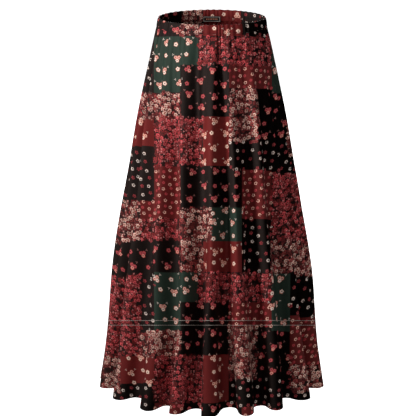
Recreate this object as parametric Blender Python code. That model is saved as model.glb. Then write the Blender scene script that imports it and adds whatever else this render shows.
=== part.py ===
"""A long gathered skirt with an elastic waist, held open by nobody: round, hollow and falling in tube folds.

Metres, +Z up, the front faces -Y. The origin is on the body's axis, half way up the waistband.
A drop is a distance below the waistband's top edge. An angle is measured round the body in degrees:
0 at the centre front, 90 at the wearer's left seam (+X), 180 at the centre back.
A phase counts the folds: it is a whole number on each fold's crest and a half in each valley.
"""

import bpy
import numpy as np

# Driving sizes
BAND_HEIGHT = 0.022
SKIRT_DROP = 0.9235  # from the band's top edge to the hem
TOP_Z = BAND_HEIGHT / 2
CLOTH = 0.0015
BAND_WALL = 0.003  # cloth, elastic and cloth
SEAM_GAP = 0.0003

# The bell of the skirt: the ring through the middle of the folds at each drop, and how far a crest
# stands out from that ring.
SECTION_COLUMNS = ("drop", "half_width", "half_depth", "fold_depth")
SECTIONS = (
    (0.0220, 0.1330, 0.0980, 0.0006),
    (0.0560, 0.1408, 0.1065, 0.0026),
    (0.1160, 0.1529, 0.1195, 0.0058),
    (0.2050, 0.1692, 0.1385, 0.0092),
    (0.3870, 0.1963, 0.1710, 0.0138),
    (0.5730, 0.2232, 0.2015, 0.0178),
    (0.7630, 0.2450, 0.2285, 0.0215),
    (0.9235, 0.2655, 0.2500, 0.0250),
)

# Every tube fold round the skirt, from one side seam to the other and back. top and hem are the crest's
# angles at the two ends, sway is how far it bows sideways between them, depth scales fold_depth, and short
# is the height in metres of the short fold that stands in the valley after this crest, below the waist.
FOLD_COLUMNS = ("top", "hem", "sway", "depth", "short")
FRONT_FOLDS = (
    (-79.0, -79.0, 0.0, 0.95, 0.0000),
    (-70.0, -65.0, 1.0, 0.90, 0.0010),
    (-60.5, -49.5, -1.5, 1.00, 0.0014),
    (-49.0, -31.0, -1.0, 1.05, 0.0018),
    (-33.0, -17.0, 1.5, 1.10, 0.0000),
    (-6.0, -0.6, 1.0, 1.12, 0.0012),
    (12.0, 17.3, -2.0, 1.08, 0.0030),
    (31.0, 34.8, -1.0, 1.12, 0.0016),
    (48.0, 50.0, 0.8, 0.88, 0.0020),
    (64.0, 66.0, 0.5, 0.92, 0.0008),
    (79.0, 79.0, 0.0, 0.95, 0.0000),
)
BACK_FOLDS = (
    (101.0, 101.0, 0.0, 0.95, 0.0010),
    (119.0, 118.0, 1.2, 1.00, 0.0024),
    (137.0, 134.0, -1.0, 0.92, 0.0014),
    (152.0, 153.0, 1.5, 1.10, 0.0026),
    (172.0, 170.0, -0.8, 1.00, 0.0000),
    (187.0, 188.0, 1.0, 1.12, 0.0028),
    (205.0, 206.0, -1.4, 0.95, 0.0012),
    (222.0, 223.0, 0.9, 1.08, 0.0020),
    (241.0, 241.0, -0.6, 0.90, 0.0008),
    (259.0, 259.0, 0.0, 0.95, 0.0000),
)
FOLDS = FRONT_FOLDS + BACK_FOLDS

TUBE_BULGE = 0.23  # share of a fold's width by which its tube swells over its own neck at the hem
SHORT_FOLD_PEAK, SHORT_FOLD_END = 0.11, 0.30  # drops where the short folds stand highest and die out

# The gathers under and on the elastic
GATHERS_PER_FOLD = 5
GATHER_HEIGHT = 0.0007
GATHER_END = 0.13  # the drop at which the last gather has smoothed out

COLUMNS_PER_FOLD = 2 * GATHERS_PER_FOLD  # a ridge and a groove for each gather
PANEL_ROWS = 13
ROW_CROWDING = 1.75  # above 1, rows lie closer together near the waist, where the cloth curves most
BAND_RIM_WIDTH, BAND_RIM_DEPTH = 0.1292, 0.0955  # half sizes of the band's top edge
BAND_BELLY = 0.0004  # the elastic's middle stands this far out
BAND_ROW_SHARES = (0.0, 0.15, 0.85, 1.0)  # from the band's top edge to its seam

LABEL_WIDTH, LABEL_TOP, LABEL_LENGTH, LABEL_WALL = 0.043, 0.0165, 0.0145, 0.001
LABEL_COLUMNS = 12

PRINTED_CLOTH = {"colour": (0.09, 0.012, 0.015), "roughness": 0.85}
BAND_CLOTH = {"colour": (0.06, 0.012, 0.014), "roughness": 0.85}
LABEL_CLOTH = {"colour": (0.008, 0.008, 0.008), "roughness": 0.6}


def column(table, names, name):
    """One named column of a table, as an array."""
    return np.array([row[names.index(name)] for row in table], float)


def section(name, drop):
    """A column of SECTIONS at any drop, on a smooth curve through the table's rows."""
    drops = column(SECTIONS, SECTION_COLUMNS, "drop")
    sizes = column(SECTIONS, SECTION_COLUMNS, name)
    slopes = np.gradient(sizes, drops)
    drop = np.asarray(drop, float)
    at = np.clip(np.searchsorted(drops, drop, "right") - 1, 0, len(drops) - 2)
    step = drops[at + 1] - drops[at]
    t = np.clip((drop - drops[at]) / step, 0.0, 1.0)
    return (
        (2 * t**3 - 3 * t**2 + 1) * sizes[at]
        + (t**3 - 2 * t**2 + t) * step * slopes[at]
        + (3 * t**2 - 2 * t**3) * sizes[at + 1]
        + (t**3 - t**2) * step * slopes[at + 1]
    )


def fold_value(name, crest):
    """A column of FOLDS for fold number crest, counted on round the ring."""
    return column(FOLDS, FOLD_COLUMNS, name)[crest % len(FOLDS)]


def crest_angle(crest, share):
    """The angle of a crest, in radians, at a share of the way from the waist seam to the hem."""
    straight = fold_value("top", crest) * (1 - share) + fold_value("hem", crest) * share
    bowed = straight + fold_value("sway", crest) * np.sin(np.pi * share)
    return np.radians(bowed + 360.0 * (crest // len(FOLDS)))


def smooth(t):
    """Rises from 0 to 1 with level ends."""
    t = np.clip(t, 0.0, 1.0)
    return t * t * (3 - 2 * t)


def ring_point(angle, half_width, half_depth, outward=0.0, sideways=0.0):
    """A point on an elliptic ring, moved along the ring's outward normal and along the ring."""
    across, along = np.sin(angle), -np.cos(angle)
    normal = np.stack([across / half_width, along / half_depth])
    normal = normal / np.linalg.norm(normal, axis=0)
    x = half_width * across + outward * normal[0] - sideways * normal[1]
    y = half_depth * along + outward * normal[1] + sideways * normal[0]
    return x, y


def cloth_point(phase, drop):
    """The skirt's outer face: ring, then tube folds, short folds and gathers, as an array of x, y, z."""
    phase, drop = np.broadcast_arrays(np.asarray(phase, float), np.asarray(drop, float))
    crest = np.floor(phase).astype(int)
    along = phase - crest
    share = (drop - BAND_HEIGHT) / (SKIRT_DROP - BAND_HEIGHT)
    here, following = crest_angle(crest, share), crest_angle(crest + 1, share)
    angle = here + (following - here) * along

    turn = 2 * np.pi * phase
    depth = fold_value("depth", crest) * (1 - smooth(along)) + fold_value("depth", crest + 1) * smooth(along)
    tube = section("fold_depth", drop) * depth * np.cos(turn)
    rise = smooth(drop / SHORT_FOLD_PEAK) * (1 - smooth((drop - SHORT_FOLD_PEAK) / (SHORT_FOLD_END - SHORT_FOLD_PEAK)))
    short = fold_value("short", crest) * rise * np.sin(np.pi * along) ** 4
    gather = GATHER_HEIGHT * (1 - smooth(drop / GATHER_END)) * np.cos(GATHERS_PER_FOLD * turn)

    half_width, half_depth = section("half_width", drop), section("half_depth", drop)
    fold_width = (following - here) * (half_width + half_depth) / 2
    sideways = TUBE_BULGE * smooth(share) * fold_width / (2 * np.pi) * np.sin(2 * turn)
    x, y = ring_point(angle, half_width, half_depth, tube + short + gather, sideways)
    return np.stack([x, y, TOP_Z - drop], axis=-1)


def outward_normal(phase, drop):
    """The unit normal of the outer face, from small steps along the ring and down the cloth."""
    step = 1e-4
    along = cloth_point(phase + step, drop) - cloth_point(phase - step, drop)
    down = cloth_point(phase, drop + step) - cloth_point(phase, drop - step)
    normal = np.cross(down, along)
    return normal / np.linalg.norm(normal, axis=-1, keepdims=True)


def grid_faces(rows, columns, offset, closed, flipped):
    """Quads of a grid whose points are numbered row by row, facing out unless flipped."""
    faces = []
    for row in range(rows - 1):
        for col in range(columns if closed else columns - 1):
            beside = (col + 1) % columns
            quad = [row * columns + col, (row + 1) * columns + col, (row + 1) * columns + beside, row * columns + beside]
            faces.append([offset + point for point in (quad[::-1] if flipped else quad)])
    return faces


def edge_faces(rows, columns, closed):
    """Quads that join the outer grid to the inner one, numbered after it, round all their free edges."""
    inner = rows * columns
    top = list(range(columns))
    bottom = [(rows - 1) * columns + col for col in range(columns)]
    first = [row * columns for row in range(rows)]
    last = [row * columns + columns - 1 for row in range(rows)]
    if closed:
        loops = [top + top[:1], (bottom + bottom[:1])[::-1]]
    else:
        loops = [top + last[1:] + bottom[-2::-1] + first[-2::-1]]
    return [[a, b, b + inner, a + inner] for loop in loops for a, b in zip(loop, loop[1:])]


def material(name, look):
    """A plain cloth finish."""
    made = bpy.data.materials.new(name)
    made.use_nodes = True
    shader = made.node_tree.nodes["Principled BSDF"]
    shader.inputs["Base Color"].default_value = (*look["colour"], 1.0)
    shader.inputs["Roughness"].default_value = look["roughness"]
    shader.inputs["Metallic"].default_value = 0.0
    return made


def wall(name, outer, inner, look, closed=False):
    """One closed solid between two grids of points, as its own object."""
    rows, columns = outer.shape[:2]
    points = np.concatenate([outer.reshape(-1, 3), inner.reshape(-1, 3)])
    faces = grid_faces(rows, columns, 0, closed, flipped=False)
    faces += grid_faces(rows, columns, rows * columns, closed, flipped=True)
    faces += edge_faces(rows, columns, closed)
    mesh = bpy.data.meshes.new(name)
    mesh.from_pydata(points.tolist(), [], faces)
    mesh.validate()
    mesh.shade_smooth()
    mesh.set_sharp_from_angle(angle=np.radians(60))
    mesh.materials.append(material(name + "_cloth", look))
    made = bpy.data.objects.new(name, mesh)
    bpy.context.scene.collection.objects.link(made)
    return made


def panel(name, first_crest, folds):
    """A front or back panel: the cloth between two side seams, from the band's seam to the hem."""
    start, end = first_crest - 0.5, first_crest + folds - 0.5
    phase = np.linspace(start, end, folds * COLUMNS_PER_FOLD + 1)
    drop = BAND_HEIGHT + SEAM_GAP + (SKIRT_DROP - BAND_HEIGHT - SEAM_GAP) * (
        np.linspace(0, 1, PANEL_ROWS) ** ROW_CROWDING
    )
    phase, drop = np.meshgrid(phase, drop)
    outer = cloth_point(phase, drop)
    inner = outer - CLOTH * outward_normal(phase, drop)
    for grid in (outer, inner):
        grid[:, 0] += side_step(grid, 0, 1)
        grid[:, -1] += side_step(grid, -1, -2)
    return wall(name, outer, inner, PRINTED_CLOTH)


def side_step(grid, edge, beside):
    """Half a seam gap from a panel's edge column towards its neighbour, for each row."""
    towards = grid[:, beside] - grid[:, edge]
    return towards / np.linalg.norm(towards, axis=-1, keepdims=True) * SEAM_GAP / 2


def band_ring(share, angle, outward):
    """Points round the band at a share of its height below the top edge."""
    half_width = BAND_RIM_WIDTH + (section("half_width", BAND_HEIGHT) - BAND_RIM_WIDTH) * share
    half_depth = BAND_RIM_DEPTH + (section("half_depth", BAND_HEIGHT) - BAND_RIM_DEPTH) * share
    x, y = ring_point(angle, half_width, half_depth, outward)
    return np.stack([x, y, TOP_Z - BAND_HEIGHT * share + np.zeros_like(x)], axis=-1)


def waistband():
    """The elastic casing: one ring, gathered on its outer face and plain inside."""
    columns = len(FOLDS) * COLUMNS_PER_FOLD
    phase = np.arange(columns) / COLUMNS_PER_FOLD - 0.5
    crest = np.floor(phase).astype(int)
    here, following = crest_angle(crest, 0.0), crest_angle(crest + 1, 0.0)
    angle = here + (following - here) * (phase - crest)
    ridge = GATHER_HEIGHT * np.cos(2 * np.pi * GATHERS_PER_FOLD * phase)
    rows = [(share, BAND_BELLY * np.sin(np.pi * share)) for share in BAND_ROW_SHARES]
    outer = np.stack([band_ring(share, angle, belly + ridge) for share, belly in rows])
    inner = np.stack([band_ring(share, angle, -BAND_WALL) for share, _ in rows])
    return wall("waistband", outer, inner, BAND_CLOTH, closed=True)


def label():
    """The woven label, sewn along its top edge inside the centre back of the band and hanging from there."""
    shares = np.array([LABEL_TOP, LABEL_TOP + LABEL_LENGTH]) / BAND_HEIGHT
    reach = np.arcsin(LABEL_WIDTH / 2 / (BAND_RIM_WIDTH - BAND_WALL))
    angle = np.pi - np.linspace(-reach, reach, LABEL_COLUMNS + 1)
    lift = BAND_WALL + SEAM_GAP
    faces = [[band_ring(share, angle, -lift - depth) for share in shares] for depth in (LABEL_WALL, 0.0)]
    return wall("label", np.stack(faces[0]), np.stack(faces[1]), LABEL_CLOTH)


def main():
    for old in list(bpy.data.objects):
        bpy.data.objects.remove(old)
    waistband()
    panel("front_panel", 0, len(FRONT_FOLDS))
    panel("back_panel", len(FRONT_FOLDS), len(BACK_FOLDS))
    label()


main()
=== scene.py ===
"""A long gathered skirt of patchwork-printed crepe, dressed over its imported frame.

Metres, +Z up, the front faces -Y, and the origin is on the body's axis half way up the elastic casing.
A drop is a distance below the casing's top edge. An angle goes round the body: 0 at the centre front,
a quarter turn at the wearer's left seam (+X) and half a turn at the centre back. A phase counts the tube
folds: it is a whole number on each fold's crest and a half in each valley.
"""

import bpy
import numpy as np
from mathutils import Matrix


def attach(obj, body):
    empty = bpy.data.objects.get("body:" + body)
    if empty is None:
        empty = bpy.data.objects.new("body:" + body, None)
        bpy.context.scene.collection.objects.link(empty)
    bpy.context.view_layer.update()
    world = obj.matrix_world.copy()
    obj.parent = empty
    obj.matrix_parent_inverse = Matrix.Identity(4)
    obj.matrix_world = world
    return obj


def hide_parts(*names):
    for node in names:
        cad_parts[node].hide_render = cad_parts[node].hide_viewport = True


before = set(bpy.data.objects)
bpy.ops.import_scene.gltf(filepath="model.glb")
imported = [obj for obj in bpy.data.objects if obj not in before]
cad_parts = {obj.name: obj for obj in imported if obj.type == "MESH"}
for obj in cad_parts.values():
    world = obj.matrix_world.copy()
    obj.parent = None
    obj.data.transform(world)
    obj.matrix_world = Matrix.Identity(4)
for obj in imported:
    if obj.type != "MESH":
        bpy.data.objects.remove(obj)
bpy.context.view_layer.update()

# ---- Driving sizes, as the maker cuts them ----

CASING_HEIGHT = 0.022  # the elastic casing, from its top edge to its seam
CASING_WALL = 0.003  # cloth, elastic and cloth
CASING_STITCH_DROP = 0.0195
SKIRT_DROP = 0.9235
TOP_Z = CASING_HEIGHT / 2
CLOTH = 0.0009
HEM_TURN_UP = 0.020
HEM_STITCH_RISE = 0.0175  # above the hem's edge
TOPSTITCH_ROWS = (0.7750, 0.7870)  # the two pale rows' drops at the side seams
TOPSTITCH_RISE = 0.358  # how far they climb towards the front and the back, for each metre of depth

# The bell of the skirt: the ring through the middle of the folds, and how far a crest stands out from it.
SECTIONS = {
    "drop": (0.0220, 0.0560, 0.1160, 0.2050, 0.3870, 0.5730, 0.7630, 0.9235),
    "half_width": (0.1330, 0.1408, 0.1529, 0.1692, 0.1963, 0.2232, 0.2450, 0.2655),
    "half_depth": (0.0980, 0.1065, 0.1195, 0.1385, 0.1710, 0.2015, 0.2285, 0.2500),
    "fold_depth": (0.0006, 0.0026, 0.0058, 0.0092, 0.0138, 0.0178, 0.0215, 0.0250),
}

# Every tube fold, from one side seam round to it again: the crest's angle in degrees at the waist and at
# the hem, how far it bows sideways between them, its share of fold_depth, the height of the short fold
# that stands in the valley after it, below the waist, how far the tube leans over sideways, as a share
# of a fold's mean width, and the share of its depth that it still lacks at the waist.
FOLD_COLUMNS = ("top", "hem", "sway", "depth", "short", "lean", "late")
FRONT_FOLDS = (
    (-79.0, -88.0, 0.0, 0.95, 0.0000, 0.00, 0.30),
    (-72.5, -73.0, 2.5, 1.02, 0.0010, 0.00, 0.10),
    (-65.5, -56.5, 4.0, 1.00, 0.0014, 0.00, 0.00),
    (-49.5, -34.0, 7.5, 1.05, 0.0018, -0.03, 0.00),
    (-27.5, -17.5, 5.5, 1.10, 0.0000, -0.06, 0.00),
    (2.5, -0.8, -0.3, 1.12, 0.0012, -0.08, 0.00),
    (15.5, 18.0, -0.3, 1.08, 0.0030, -0.08, 0.00),
    (39.0, 35.0, -0.5, 1.12, 0.0016, -0.08, 0.15),
    (53.5, 56.0, -0.2, 0.92, 0.0020, 0.00, 0.55),
    (66.0, 74.5, -1.0, 1.00, 0.0008, 0.00, 0.60),
    (79.0, 88.0, 0.0, 0.95, 0.0000, 0.00, 0.40),
)
BACK_FOLDS = (
    (101.0, 100.0, 0.0, 0.95, 0.0010, 0.00, 0.30),
    (119.0, 118.0, 1.2, 1.00, 0.0024, 0.05, 0.10),
    (137.0, 134.0, -1.0, 0.92, 0.0014, 0.08, 0.20),
    (152.0, 153.0, 1.5, 1.10, 0.0026, 0.06, 0.00),
    (172.0, 170.0, -0.8, 1.00, 0.0000, -0.04, 0.10),
    (187.0, 188.0, 1.0, 1.12, 0.0028, -0.08, 0.00),
    (205.0, 206.0, -1.4, 0.95, 0.0012, -0.06, 0.25),
    (222.0, 223.0, 0.9, 1.08, 0.0020, -0.08, 0.00),
    (241.0, 241.0, -0.6, 0.90, 0.0008, -0.03, 0.10),
    (259.0, 260.0, 0.0, 0.95, 0.0000, 0.00, 0.30),
)
FOLDS = dict(zip(FOLD_COLUMNS, np.array(FRONT_FOLDS + BACK_FOLDS).T))
FOLD_COUNT = len(FRONT_FOLDS) + len(BACK_FOLDS)
TUBE_BULGE = 0.38  # how squarely a tube stands out at the hem: its sides would be upright at 0.5
BULGE_START = 0.45  # the share of the skirt's length at which the tubes begin to stand squarely
TUBE_SHARPNESS = 0.05  # how much tighter a crest is bent than a valley
SHORT_FOLD_PEAK, SHORT_FOLD_END = 0.11, 0.30  # drops
LATE_FOLD_END = 0.45  # the drop by which the late folds are fully open
# Beside the side seams the folds lack a share of their depth at the hem. The lack dies out round the ring
# over a reach in phase, begins at the first drop and is whole at the second.
SEAM_FLATNESS, SEAM_REACH = 0.55, 0.9
SEAM_FLAT_TOP, SEAM_FLAT_END = 0.62, 0.87
# Slow waves, each with its size, its length down the skirt and how many go round it: the first changes the
# folds' depth by a share, and the second moves the cloth sideways, in metres.
UNEVEN_SHARE, UNEVEN_LENGTH, UNEVEN_WAVES = 0.07, 0.43, 8
SWAY_WIDTH, SWAY_LENGTH, SWAY_WAVES = 0.0025, 0.61, 6
GATHER_HEIGHT = 0.00095
GATHER_REACH = 0.150  # how far below the casing the gathers die out, before it is varied round the ring
HEM_RIDGE, HEM_RIDGE_RISE = 0.0005, 0.0015  # how far the turned-up hem stands out, and over what drop

# Soft creases laid in one by one: each one's phase at its top, how far it drifts round in phase, the drops of
# its top and bottom, how wide it is in phase, and how high it stands (troughs are negative).
CREASES = (
    (0.30, 0.10, 0.05, 0.30, 0.10, 0.0012),
    (1.55, -0.10, 0.10, 0.46, 0.12, 0.0016),
    (2.45, 0.12, 0.04, 0.22, 0.10, -0.0014),
    (2.60, 0.05, 0.30, 0.80, 0.11, 0.0024),
    (3.22, 0.06, 0.03, 0.34, 0.07, 0.0018),
    (3.50, -0.08, 0.03, 0.18, 0.11, 0.0016),
    (3.62, 0.16, 0.16, 0.52, 0.09, 0.0022),
    (4.30, 0.10, 0.05, 0.30, 0.09, -0.0018),
    (4.44, 0.05, 0.04, 0.36, 0.07, 0.0024),
    (4.52, -0.06, 0.36, 0.88, 0.12, 0.0030),
    (4.72, 0.08, 0.03, 0.28, 0.06, 0.0020),
    (5.22, 0.08, 0.06, 0.26, 0.08, -0.0014),
    (5.48, 0.02, 0.10, 0.40, 0.10, 0.0026),
    (5.70, 0.14, 0.44, 0.93, 0.10, 0.0022),
    (5.42, 0.00, 0.60, 1.20, 0.16, -0.0070),
    (5.78, 0.05, 0.03, 0.30, 0.07, 0.0020),
    (6.28, -0.06, 0.03, 0.21, 0.09, 0.0016),
    (6.46, 0.04, 0.03, 0.32, 0.07, 0.0024),
    (6.75, 0.00, 0.24, 0.93, 0.12, 0.0034),
    (7.30, 0.06, 0.08, 0.33, 0.09, -0.0016),
    (7.48, 0.08, 0.03, 0.26, 0.07, 0.0022),
    (7.55, -0.10, 0.50, 0.93, 0.12, 0.0028),
    (8.42, 0.12, 0.05, 0.28, 0.10, 0.0015),
    (9.50, -0.08, 0.22, 0.60, 0.12, 0.0020),
    (11.50, 0.08, 0.06, 0.34, 0.12, 0.0018),
    (12.40, -0.12, 0.20, 0.66, 0.11, 0.0024),
    (13.45, 0.10, 0.04, 0.24, 0.10, -0.0015),
    (13.60, 0.06, 0.42, 0.90, 0.12, 0.0028),
    (14.55, -0.14, 0.10, 0.48, 0.10, 0.0024),
    (15.30, 0.05, 0.03, 0.20, 0.09, 0.0014),
    (15.52, 0.10, 0.38, 0.82, 0.11, 0.0026),
    (16.45, -0.06, 0.06, 0.38, 0.10, -0.0016),
    (16.55, 0.12, 0.52, 0.93, 0.12, 0.0024),
    (17.50, 0.08, 0.12, 0.50, 0.12, 0.0022),
    (18.48, -0.10, 0.05, 0.26, 0.10, 0.0016),
    (19.50, 0.06, 0.26, 0.70, 0.12, 0.0022),
)

# ---- The patchwork print ----

# Flower prints in the patches, by number.
FABRICS = ("pine", "night", "wine", "snow", "berry", "poppy", "blush")
REPEAT_WIDTH, REPEAT_LENGTH = 0.559, 0.548
REPEAT_LEFT, REPEAT_TOP = -0.280, 0.0254  # the first repeat's corner, from the centre front and as a drop
# One repeat of the patchwork as strips from left to right: the strip's right edge in centimetres, and
# its patches from the top with their lower edges.
PATCH_STRIPS = (
    (5.5, (("poppy", 18.6), ("blush", 27.4), ("snow", 38.0), ("blush", 47.5), ("night", 54.8))),
    (10.7, (("poppy", 18.6), ("wine", 25.1), ("snow", 38.0), ("blush", 47.5), ("night", 54.8))),
    (14.1, (("snow", 12.8), ("blush", 19.0), ("wine", 25.1), ("snow", 38.0), ("berry", 42.5),
            ("poppy", 47.5), ("night", 54.8))),
    (20.5, (("pine", 12.8), ("blush", 18.6), ("poppy", 30.0), ("berry", 42.5), ("poppy", 47.5),
            ("night", 54.8))),
    (24.7, (("pine", 6.6), ("night", 18.6), ("poppy", 30.0), ("night", 39.9), ("blush", 54.8))),
    (25.9, (("poppy", 6.6), ("night", 18.6), ("poppy", 30.0), ("night", 39.9), ("blush", 54.8))),
    (27.9, (("poppy", 6.6), ("night", 18.6), ("wine", 30.0), ("night", 39.9), ("blush", 47.8),
            ("wine", 54.8))),
    (32.1, (("poppy", 6.6), ("night", 18.6), ("wine", 30.0), ("night", 39.9), ("pine", 47.8),
            ("wine", 54.8))),
    (35.2, (("poppy", 6.6), ("berry", 11.9), ("blush", 24.2), ("snow", 31.0), ("night", 39.9),
            ("pine", 47.8), ("wine", 54.8))),
    (39.0, (("poppy", 6.6), ("berry", 11.9), ("blush", 24.2), ("snow", 31.0), ("berry", 42.5),
            ("snow", 54.8))),
    (42.4, (("poppy", 6.6), ("berry", 11.9), ("night", 24.2), ("snow", 31.0), ("berry", 42.5),
            ("snow", 54.8))),
    (47.1, (("pine", 12.8), ("night", 24.2), ("snow", 31.4), ("poppy", 47.5), ("blush", 54.8))),
    (55.9, (("snow", 9.1), ("berry", 20.5), ("blush", 27.4), ("snow", 31.4), ("poppy", 47.5),
            ("blush", 54.8))),
)
GROUNDS = {
    "pine": "#14342a", "night": "#060404", "wine": "#680407", "snow": "#060404",
    "berry": "#600307", "poppy": "#1a0304", "blush": "#1a0405",
}

# The least print for each step round the ring, beside the seams: at the waist, and lower down
PRINT_SLOPE_LEAST = (0.28, 0.50)
PRINT_SLOPE_TOP, PRINT_SLOPE_END = 0.12, 0.34  # the drops between which it grows
PRINT_RISE = 0.29  # how far a row of the print rides up over a crest, for each metre that it stands out
FLOWER_LEAST = 0.75
PRINT_GROWTH = 0.0215  # how much longer the cloth has grown by the hem, under its own weight
PRINT_GROWTH_TOP, PRINT_GROWTH_END = 0.46, 0.82  # the drops between which it grows
# How far the print sinks at the side seams: at the top, and more for each metre of drop
PRINT_BOW, PRINT_BOW_SLOPE = 0.020, 0.087
BACK_PRINT_SHIFT = -0.035  # the back panel is cut a little higher in the print than the front


def linear(colour):
    """An sRGB hex colour as linear red, green, blue and an alpha of 1."""
    shares = np.array([int(colour[place : place + 2], 16) for place in (1, 3, 5)]) / 255
    return (*np.where(shares <= 0.04045, shares / 12.92, ((shares + 0.055) / 1.055) ** 2.4), 1.0)


def smooth(t):
    """3t^2 - 2t^3: rises from 0 to 1 with level ends."""
    t = np.clip(t, 0.0, 1.0)
    return t * t * (3 - 2 * t)


def ring_wave(phase, waves, shift):
    """A sine with a whole number of waves round the skirt, so that it closes on itself."""
    return np.sin(2 * np.pi * (waves * phase / FOLD_COUNT + shift))


# ---- The form of the cloth ----


def section(name, drop):
    """A row of SECTIONS at any drop: a cubic between neighbouring drops whose slopes are the table's own."""
    drops, sizes = np.array(SECTIONS["drop"]), np.array(SECTIONS[name])
    slopes = np.gradient(sizes, drops)
    at = np.clip(np.searchsorted(drops, drop, "right") - 1, 0, len(drops) - 2)
    step = drops[at + 1] - drops[at]
    t = np.clip((drop - drops[at]) / step, 0.0, 1.0)
    return (
        (2 * t**3 - 3 * t**2 + 1) * sizes[at]
        + (t**3 - 2 * t**2 + t) * step * slopes[at]
        + (3 * t**2 - 2 * t**3) * sizes[at + 1]
        + (t**3 - t**2) * step * slopes[at + 1]
    )


def fold_value(name, crest):
    """A column of the folds' table for a crest's number, counted on round the ring."""
    return FOLDS[name][crest % FOLD_COUNT]


def eased(name, phase):
    """A column of the folds' table at any phase, eased from one crest's value to the next, with no jump."""
    crest = np.floor(phase).astype(int)
    blend = smooth(phase - crest)
    return fold_value(name, crest) * (1 - blend) + fold_value(name, crest + 1) * blend


def crest_angle(crest, share):
    """A crest's angle in radians: top + (hem - top) share + sway sin(pi share), plus whole turns."""
    straight = fold_value("top", crest) * (1 - share) + fold_value("hem", crest) * share
    bowed = straight + fold_value("sway", crest) * np.sin(np.pi * share)
    return np.radians(bowed + 360.0 * (crest // FOLD_COUNT))


def ring_angle(phase, drop):
    """The angle at a phase, in equal steps between its two neighbouring crests."""
    crest = np.floor(phase).astype(int)
    share = (drop - CASING_HEIGHT) / (SKIRT_DROP - CASING_HEIGHT)
    here, following = crest_angle(crest, share), crest_angle(crest + 1, share)
    return here + (following - here) * (phase - crest)


def ring_point(angle, half_width, half_depth, outward, sideways, drop):
    """(a sin, -b cos, top - drop) on an ellipse, moved along its outward normal and along its tangent."""
    across, along = np.sin(angle), -np.cos(angle)
    length = np.hypot(across / half_width, along / half_depth)
    normal_x, normal_y = across / half_width / length, along / half_depth / length
    x = half_width * across + outward * normal_x - sideways * normal_y
    y = half_depth * along + outward * normal_y + sideways * normal_x
    return np.stack(np.broadcast_arrays(x, y, TOP_Z - drop), axis=-1)


def gathers(phase, drop):
    """Uneven ridges that the elastic draws up: three waves round the waist added together, 71, 97 and 43 of
    them, which die out at a reach that changes round the ring."""
    reach = GATHER_REACH + 0.035 * ring_wave(phase, 23, 0.3) + 0.030 * ring_wave(phase, 13, 0.8)
    fade = (1 - smooth((drop - CASING_HEIGHT) / reach)) ** 1.5
    wander = 0.02 * ring_wave(phase, 9, 0.1)
    ridges = 0.9 * ring_wave(phase, 71, wander) + 0.6 * ring_wave(phase, 97, 0.3 + wander)
    return GATHER_HEIGHT * fade * (ridges + 0.5 * ring_wave(phase, 43, 0.7))


def creases(phase, drop):
    """The sum of the table's creases: height exp(-((phase - middle) / width)^2) sin(pi t)^0.8 down each."""
    raised = np.zeros(np.broadcast(phase, drop).shape)
    for middle, drift, top, bottom, width, height in CREASES:
        t = np.clip((drop - top) / (bottom - top), 0.0, 1.0)
        raised += height * np.sin(np.pi * t) ** 0.8 * np.exp(-(((phase - middle - drift * t) / width) ** 2))
    return raised


def tube_folds(phase, drop):
    """How far the tube folds stand out: fold_depth x depth x (cos(2 pi phase) + sharpness cos(4 pi phase)), a
    little uneven down the skirt, less where a fold opens late and beside the side seams near the hem."""
    opened = 1 - eased("late", phase) * (1 - smooth(drop / LATE_FOLD_END))
    from_right = np.abs((phase + 0.5 + FOLD_COUNT / 2) % FOLD_COUNT - FOLD_COUNT / 2)
    from_seam = np.minimum(from_right, np.abs(phase - len(FRONT_FOLDS) + 0.5))
    lower = smooth((drop - SEAM_FLAT_TOP) / (SEAM_FLAT_END - SEAM_FLAT_TOP))
    opened = opened * (1 - SEAM_FLATNESS * np.exp(-((from_seam / SEAM_REACH) ** 2)) * lower)
    uneven = 1 + UNEVEN_SHARE * ring_wave(phase, UNEVEN_WAVES, drop / UNEVEN_LENGTH) * smooth(drop / 0.2)
    profile = np.cos(2 * np.pi * phase) + TUBE_SHARPNESS * np.cos(4 * np.pi * phase)
    return section("fold_depth", drop) * eased("depth", phase) * opened * uneven * profile


def skirt_surface(phase, drop):
    """The outer face of the cloth: the ring, out of which stand the tube folds, short folds, gathers, creases
    and turned-up hem. It is moved sideways by a fold's width x bulge sin(4 pi phase) / 2 pi, which squares
    the tubes, by the mean width x lean cos(2 pi phase), which tips them over, and by a slow sway."""
    phase, drop = np.broadcast_arrays(np.asarray(phase, float), np.asarray(drop, float))
    crest = np.floor(phase).astype(int)
    share = (drop - CASING_HEIGHT) / (SKIRT_DROP - CASING_HEIGHT)
    half_width, half_depth = section("half_width", drop), section("half_depth", drop)
    radius = (half_width + half_depth) / 2
    rise = smooth(drop / SHORT_FOLD_PEAK)
    fall = smooth((drop - SHORT_FOLD_PEAK) / (SHORT_FOLD_END - SHORT_FOLD_PEAK))
    short = fold_value("short", crest) * rise * (1 - fall) * np.sin(np.pi * (phase - crest)) ** 4
    turned_up = HEM_RIDGE * smooth((drop - (SKIRT_DROP - HEM_TURN_UP)) / HEM_RIDGE_RISE)
    outward = tube_folds(phase, drop) + short + gathers(phase, drop) + creases(phase, drop) + turned_up
    width = (crest_angle(crest + 1, share) - crest_angle(crest, share)) * radius
    squared = smooth((share - BULGE_START) / (1 - BULGE_START))
    bulge = width * TUBE_BULGE / (2 * np.pi) * np.sin(4 * np.pi * phase) * squared
    tipped = eased("lean", phase) * np.cos(2 * np.pi * phase) * smooth(share * 4)
    lean = 2 * np.pi / FOLD_COUNT * radius * tipped
    sway = SWAY_WIDTH * smooth(share * 2) * ring_wave(phase, SWAY_WAVES, drop / SWAY_LENGTH)
    return ring_point(ring_angle(phase, drop), half_width, half_depth, outward, bulge + lean + sway, drop)


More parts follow.
